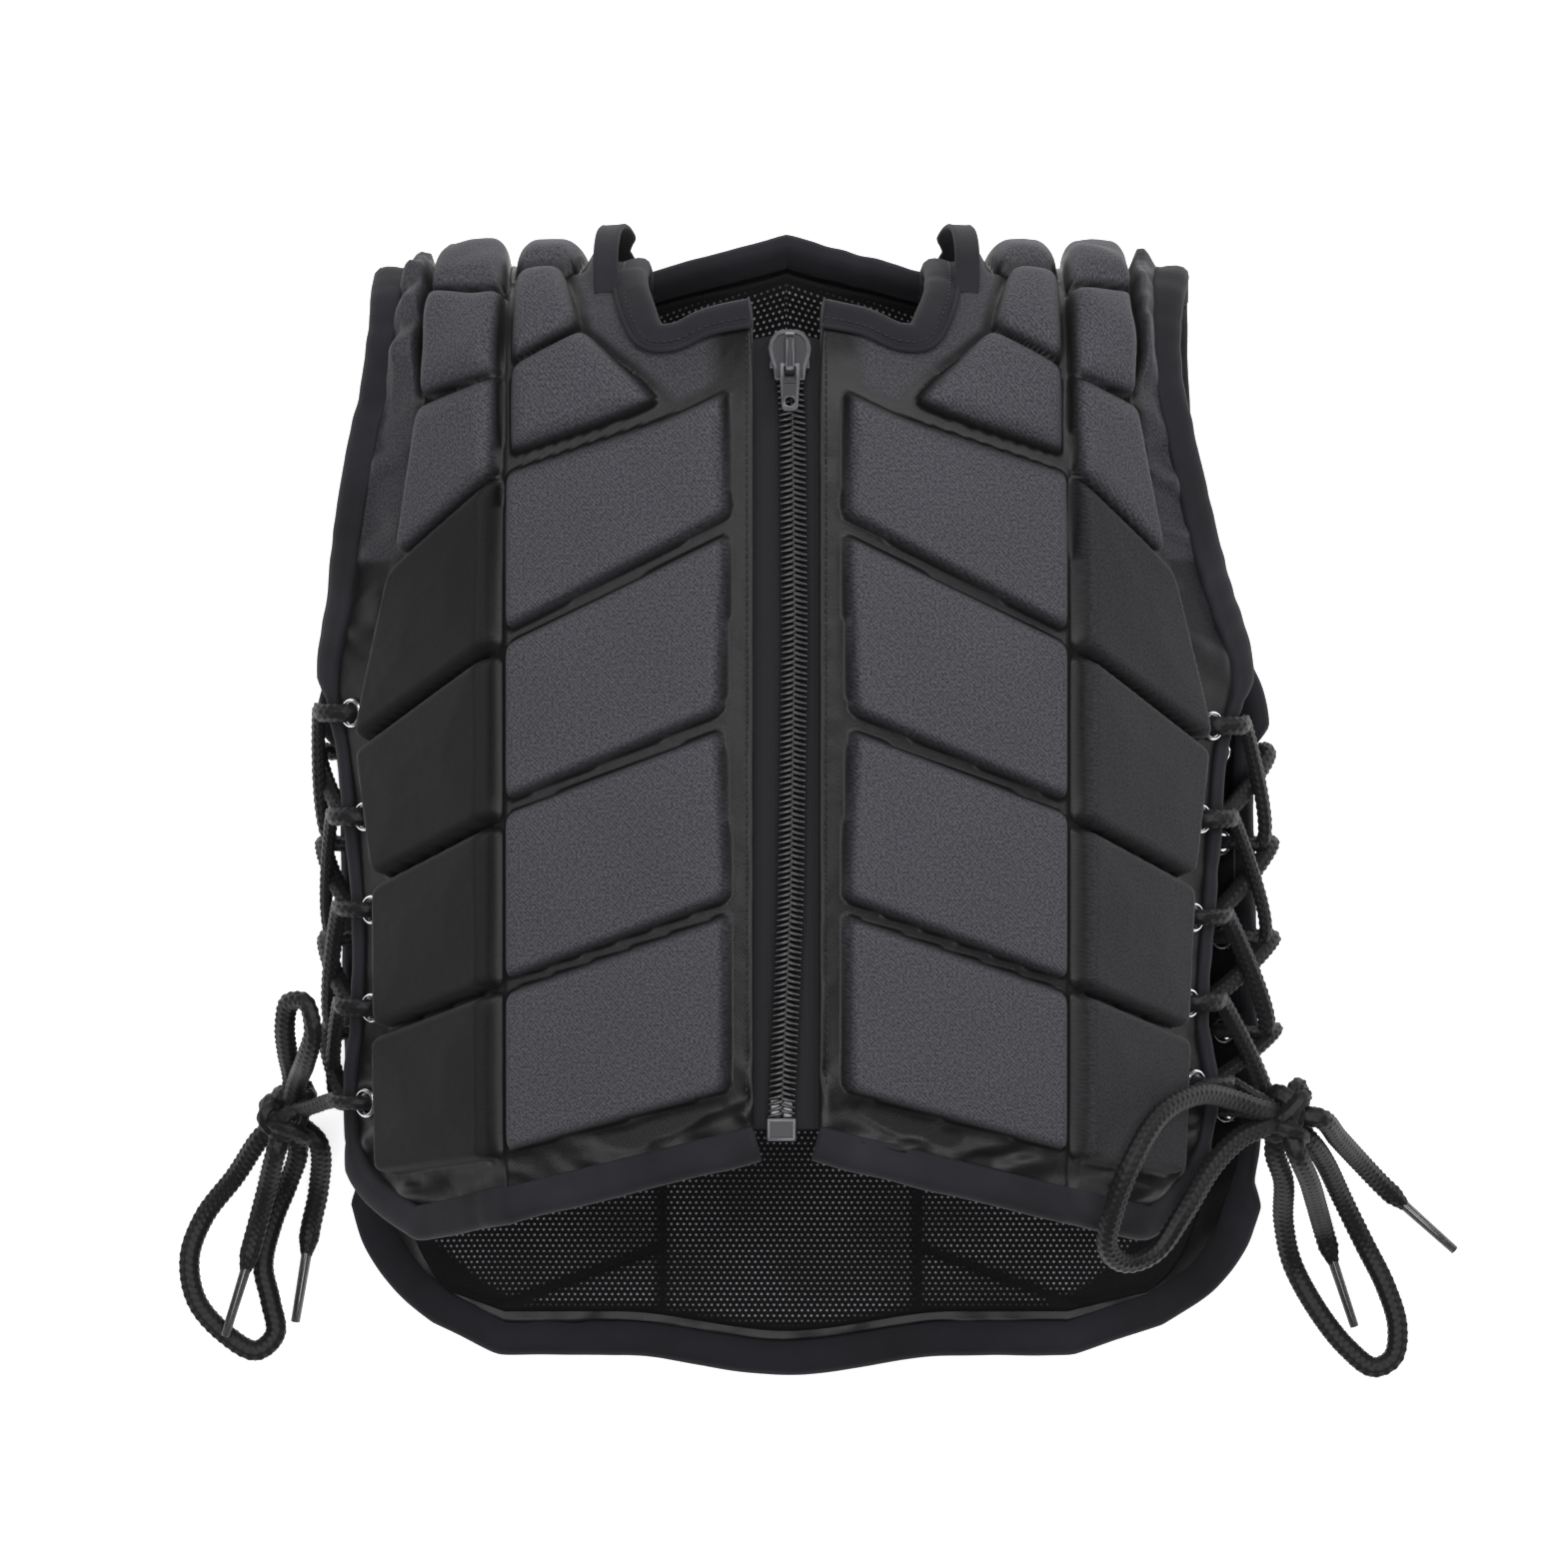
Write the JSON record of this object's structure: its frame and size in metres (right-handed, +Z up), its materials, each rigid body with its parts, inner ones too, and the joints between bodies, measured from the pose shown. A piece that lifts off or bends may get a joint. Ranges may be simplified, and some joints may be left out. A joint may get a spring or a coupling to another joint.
{
  "type": "equestrian body protector vest",
  "caption": "Padded riding vest with chevron foam pads, front zip, bound edges, mesh-lined back and laced sides tied in bows",
  "frame": {"origin": "on the surface that the vest lies on, under the middle of its box without the free laces", "axes": "+Z up out of the chest, +Y towards the neck, +X to the right seen from above"},
  "size_m": [0.5391, 0.4761, 0.1732],
  "materials": {
    "padded_cloth": "charcoal knitted polyester over foam",
    "mesh_lining": "black perforated mesh",
    "binding_cloth": "smooth matt stretch binding",
    "zip_tape": "woven tape",
    "zip_coil": "polished nylon coil",
    "zip_metal": "black lacquered zinc",
    "eyelet_metal": "nickel plated",
    "lace_cord": "braided polyester cord",
    "aglet_plastic": "glossy black sleeve"
  },
  "bodies": {
    "vest": {"aglet_left_inner": "aglet_plastic", "aglet_left_outer": "aglet_plastic", "aglet_right_inner": "aglet_plastic", "aglet_right_outer": "aglet_plastic", "back_binding": "binding_cloth", "back_lining": "mesh_lining", "back_panel": "padded_cloth", "bow_left_lower": "lace_cord", "bow_left_upper": "lace_cord", "bow_right_lower": "lace_cord", "bow_right_upper": "lace_cord", "eyelet_back_left_1": "eyelet_metal", "eyelet_back_left_2": "eyelet_metal", "eyelet_back_left_3": "eyelet_metal", "eyelet_back_left_4": "eyelet_metal", "eyelet_back_left_5": "eyelet_metal", "eyelet_back_right_1": "eyelet_metal", "eyelet_back_right_2": "eyelet_metal", "eyelet_back_right_3": "eyelet_metal", "eyelet_back_right_4": "eyelet_metal", "eyelet_back_right_5": "eyelet_metal", "eyelet_front_left_1": "eyelet_metal", "eyelet_front_left_2": "eyelet_metal", "eyelet_front_left_3": "eyelet_metal", "eyelet_front_left_4": "eyelet_metal", "eyelet_front_left_5": "eyelet_metal", "eyelet_front_right_1": "eyelet_metal", "eyelet_front_right_2": "eyelet_metal", "eyelet_front_right_3": "eyelet_metal", "eyelet_front_right_4": "eyelet_metal", "eyelet_front_right_5": "eyelet_metal", "front_binding_left": "binding_cloth", "front_binding_right": "binding_cloth", "front_panel_left": "padded_cloth", "front_panel_right": "padded_cloth", "knot_left": "lace_cord", "knot_right": "lace_cord", "lacing_left": "lace_cord", "lacing_right": "lace_cord", "neck_binding": "binding_cloth", "neck_loop_left": "binding_cloth", "neck_loop_right": "binding_cloth", "tail_left_inner": "lace_cord", "tail_left_outer": "lace_cord", "tail_right_inner": "lace_cord", "tail_right_outer": "lace_cord", "zip_chain": "zip_coil", "zip_retainer": "zip_metal", "zip_slider": "zip_metal", "zip_tape_left": "zip_tape", "zip_tape_right": "zip_tape"},
    "zip_pull": {"zip_pull": "zip_metal"}
  },
  "joints": [
    {"name": "pull_hinge", "type": "hinge", "parent": "vest", "child": "zip_pull", "pos_m": [0.00279, 0.17541, 0.16697], "axis": [-0.9997, 0.0052, 0.0236], "range_deg": [0, 120]}
  ]
}
